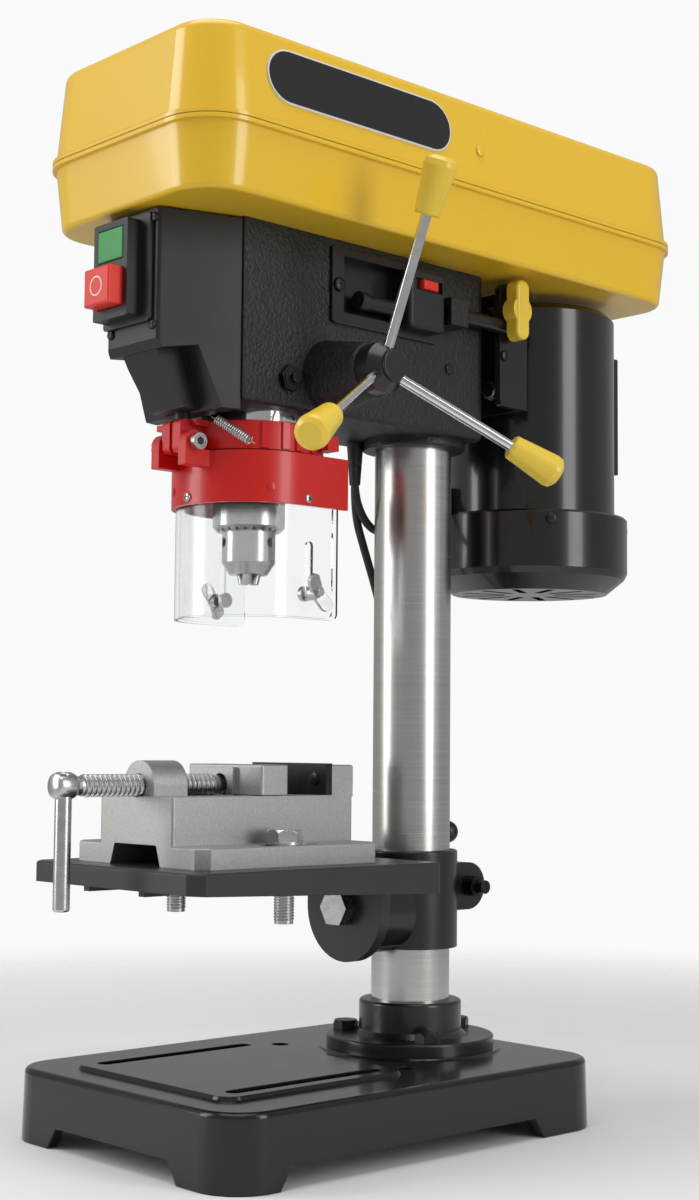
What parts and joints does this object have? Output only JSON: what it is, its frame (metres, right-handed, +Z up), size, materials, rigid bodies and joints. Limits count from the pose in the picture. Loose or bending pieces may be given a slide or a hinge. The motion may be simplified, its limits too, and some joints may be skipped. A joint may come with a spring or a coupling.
{
  "type": "bench drill press",
  "caption": "Bench drill press with a round column, tilting table with a screw vise, quill feed handle, chuck guard, side motor and hinged belt cover.",
  "frame": {"origin": "middle of the machine's footprint, on the bench top", "axes": "+Z up along the column, -Y towards the operator, +X towards the feed handle"},
  "size_m": [0.2294, 0.4295, 0.584],
  "materials": {
    "black_paint": "semi-gloss black paint on castings",
    "column_steel": "ground steel tube",
    "zinc_steel": "zinc plated",
    "chrome": "bright turned steel",
    "chuck_steel": "ground steel",
    "vise_iron": "cast and milled, light grey",
    "jaw_plate": "blackened steel",
    "black_plastic": "fine-grained black plastic",
    "green_button": "green plastic",
    "red_button": "red plastic",
    "red_guard": "red moulded plastic",
    "clear_shield": "clear plastic sheet",
    "yellow_cover": "glossy yellow enamel",
    "yellow_knob": "yellow plastic",
    "pulley_metal": "turned aluminium",
    "belt_rubber": "rubber V belt",
    "cord_black": "black rubber"
  },
  "bodies": {
    "base": {"base_plate": "black_paint", "column_flange": "black_paint", "flange_bolts": "zinc_steel", "column_tube": "column_steel", "head_casting": "black_paint", "nose_bush": "chrome", "side_plate": "black_paint", "depth_gauge": "black_plastic", "return_spring_cap": "black_paint", "switch_housing": "black_plastic", "switch_bezel": "black_plastic", "guard_collar": "red_guard", "guard_pins": "zinc_steel", "guard_spring": "zinc_steel", "cover_pan": "yellow_cover", "cord_reliefs": "cord_black", "mains_cord": "cord_black", "mains_coil": "cord_black", "mains_tail": "cord_black", "mains_plug": "cord_black", "motor_lead": "cord_black", "belt": "belt_rubber"},
    "table_lift": {"table_bracket": "black_paint", "tilt_bolt": "zinc_steel"},
    "clamp_lever": {"table_clamp_lever": "black_plastic"},
    "table": {"table_plate": "black_paint", "vise_body": "vise_iron", "vise_jaw_plate": "jaw_plate", "vise_bolts": "zinc_steel"},
    "vise_jaw": {"vise_moving_jaw": "vise_iron"},
    "vise_turn": {"vise_screw": "zinc_steel"},
    "vise_bar": {"vise_handle_bar": "zinc_steel"},
    "pointer": {"depth_pointer": "red_button"},
    "start": {"start_button": "green_button"},
    "stop": {"stop_button": "red_button"},
    "quill": {"quill_sleeve": "chrome"},
    "spindle_turn": {"spindle": "chrome", "chuck_body": "chuck_steel"},
    "chuck_ring": {"chuck_sleeve": "chuck_steel"},
    "jaw_1": {"chuck_jaw_1": "chuck_steel"},
    "jaw_2": {"chuck_jaw_2": "chuck_steel"},
    "jaw_3": {"chuck_jaw_3": "chuck_steel"},
    "feed": {"feed_shaft": "chrome", "feed_hub": "black_paint", "feed_spokes": "chrome", "feed_knobs": "yellow_knob"},
    "guard": {"guard_skirt": "red_guard", "guard_shield": "clear_shield", "shield_bolts": "zinc_steel"},
    "extension": {"guard_extension": "clear_shield"},
    "wing_left": {"wing_nut_left": "zinc_steel"},
    "wing_right": {"wing_nut_right": "zinc_steel"},
    "motor": {"motor_bracket": "black_paint", "motor_body": "black_paint", "motor_fan_cover": "black_paint"},
    "knob": {"tension_knob": "yellow_knob"},
    "rotor_turn": {"rotor": "chrome", "motor_pulley": "pulley_metal"},
    "pulley_turn": {"spindle_pulley": "pulley_metal"},
    "lid": {"cover_lid": "yellow_cover"}
  },
  "joints": [
    {"name": "table_height", "type": "slide", "parent": "base", "child": "table_lift", "axis": [0, 0, 1], "range_m": [-0.028, 0.045]},
    {"name": "table_tilt", "type": "hinge", "parent": "table_lift", "child": "table", "pos_m": [-0.01547, -0.01025, 0.122], "axis": [0, 1, 0], "range_deg": [-45, 45]},
    {"name": "table_clamp", "type": "hinge", "parent": "table_lift", "child": "clamp_lever", "pos_m": [-0.04947, 0.07675, 0.131], "axis": [1, 0, 0], "range_deg": [-30, 30]},
    {"name": "vise_slide", "type": "slide", "parent": "table", "child": "vise_jaw", "axis": [0, 1, 0], "range_m": [-0.028, 0.02]},
    {"name": "vise_screw_turn", "type": "hinge", "parent": "vise_jaw", "child": "vise_turn", "pos_m": [-0.01547, -0.15925, 0.1925], "axis": [0, 1, 0], "range_deg": [-3360, 2400]},
    {"name": "vise_bar_slide", "type": "slide", "parent": "vise_turn", "child": "vise_bar", "axis": [0, 0, 1], "range_m": [0, 0.056]},
    {"name": "depth_pointer_slide", "type": "slide", "parent": "base", "child": "pointer", "axis": [0, 1, 0], "range_m": [-0.004, 0.004]},
    {"name": "start_press", "type": "slide", "parent": "base", "child": "start", "axis": [0, 1, 0], "range_m": [0, 0.003], "stiffness_N_per_m": 400, "springref_m": -0.001},
    {"name": "stop_press", "type": "slide", "parent": "base", "child": "stop", "axis": [0, 1, 0], "range_m": [0, 0.003], "stiffness_N_per_m": 400, "springref_m": -0.001},
    {"name": "feed_turn", "type": "hinge", "parent": "base", "child": "feed", "pos_m": [-0.01547, -0.06145, 0.416], "axis": [1, 0, 0], "range_deg": [0, 286.48], "stiffness_Nm_per_rad": 0.12, "springref_deg": -171.89},
    {"name": "quill_slide", "type": "slide", "parent": "base", "child": "quill", "axis": [0, 0, 1], "range_m": [-0.05, 0]},
    {"name": "spindle_spin", "type": "hinge", "parent": "quill", "child": "spindle_turn", "pos_m": [-0.01547, -0.08725, 0.4], "axis": [0, 0, 1], "continuous": true},
    {"name": "chuck_ring_turn", "type": "hinge", "parent": "spindle_turn", "child": "chuck_ring", "pos_m": [-0.01547, -0.08725, 0.34], "axis": [0, 0, 1], "range_deg": [0, 360]},
    {"name": "guard_hinge", "type": "hinge", "parent": "base", "child": "guard", "pos_m": [-0.01547, -0.13725, 0.3745], "axis": [-1, 0, 0], "range_deg": [0, 90]},
    {"name": "extension_slide", "type": "slide", "parent": "guard", "child": "extension", "axis": [0, 0, 1], "range_m": [-0.026, 0]},
    {"name": "wing_left_turn", "type": "hinge", "parent": "guard", "child": "wing_left", "pos_m": [-0.06047, -0.07625, 0.296], "axis": [-1, 0, 0], "range_deg": [-180, 180]},
    {"name": "wing_right_turn", "type": "hinge", "parent": "guard", "child": "wing_right", "pos_m": [0.02953, -0.07625, 0.296], "axis": [1, 0, 0], "range_deg": [-180, 180]},
    {"name": "motor_slide", "type": "slide", "parent": "base", "child": "motor", "axis": [0, 1, 0], "range_m": [-0.006, 0]},
    {"name": "tension_knob_turn", "type": "hinge", "parent": "motor", "child": "knob", "pos_m": [0.03653, 0.07475, 0.4743], "axis": [1, 0, 0], "range_deg": [-180, 180]},
    {"name": "motor_spin", "type": "hinge", "parent": "motor", "child": "rotor_turn", "pos_m": [-0.01547, 0.14575, 0.4], "axis": [0, 0, 1], "continuous": true},
    {"name": "pulley_spin", "type": "hinge", "parent": "base", "child": "pulley_turn", "pos_m": [-0.01547, -0.08725, 0.52], "axis": [0, 0, 1], "continuous": true},
    {"name": "lid_hinge", "type": "hinge", "parent": "base", "child": "lid", "pos_m": [-0.09697, 0.04075, 0.5319], "axis": [0, -1, 0], "range_deg": [0, 95]},
    {"name": "jaw_1_slide", "type": "slide", "parent": "spindle_turn", "child": "jaw_1", "axis": [0.1765, -0.1893, 0.9659], "range_m": [0, 0.006]},
    {"name": "jaw_2_slide", "type": "slide", "parent": "spindle_turn", "child": "jaw_2", "axis": [0.0757, 0.2475, 0.9659], "range_m": [0, 0.006]},
    {"name": "jaw_3_slide", "type": "slide", "parent": "spindle_turn", "child": "jaw_3", "axis": [-0.2522, -0.0582, 0.9659], "range_m": [0, 0.006]}
  ],
  "couplings": [
    {"joint": "quill_slide", "follows": "feed_turn", "m_per_rad": -0.01},
    {"joint": "vise_slide", "follows": "vise_screw_turn", "m_per_rad": 0.00047746},
    {"joint": "spindle_spin", "follows": "motor_spin", "ratio": 1},
    {"joint": "pulley_spin", "follows": "motor_spin", "ratio": 1},
    {"joint": "jaw_1_slide", "follows": "chuck_ring_turn", "m_per_rad": 0.00095493},
    {"joint": "jaw_2_slide", "follows": "chuck_ring_turn", "m_per_rad": 0.00095493},
    {"joint": "jaw_3_slide", "follows": "chuck_ring_turn", "m_per_rad": 0.00095493}
  ]
}
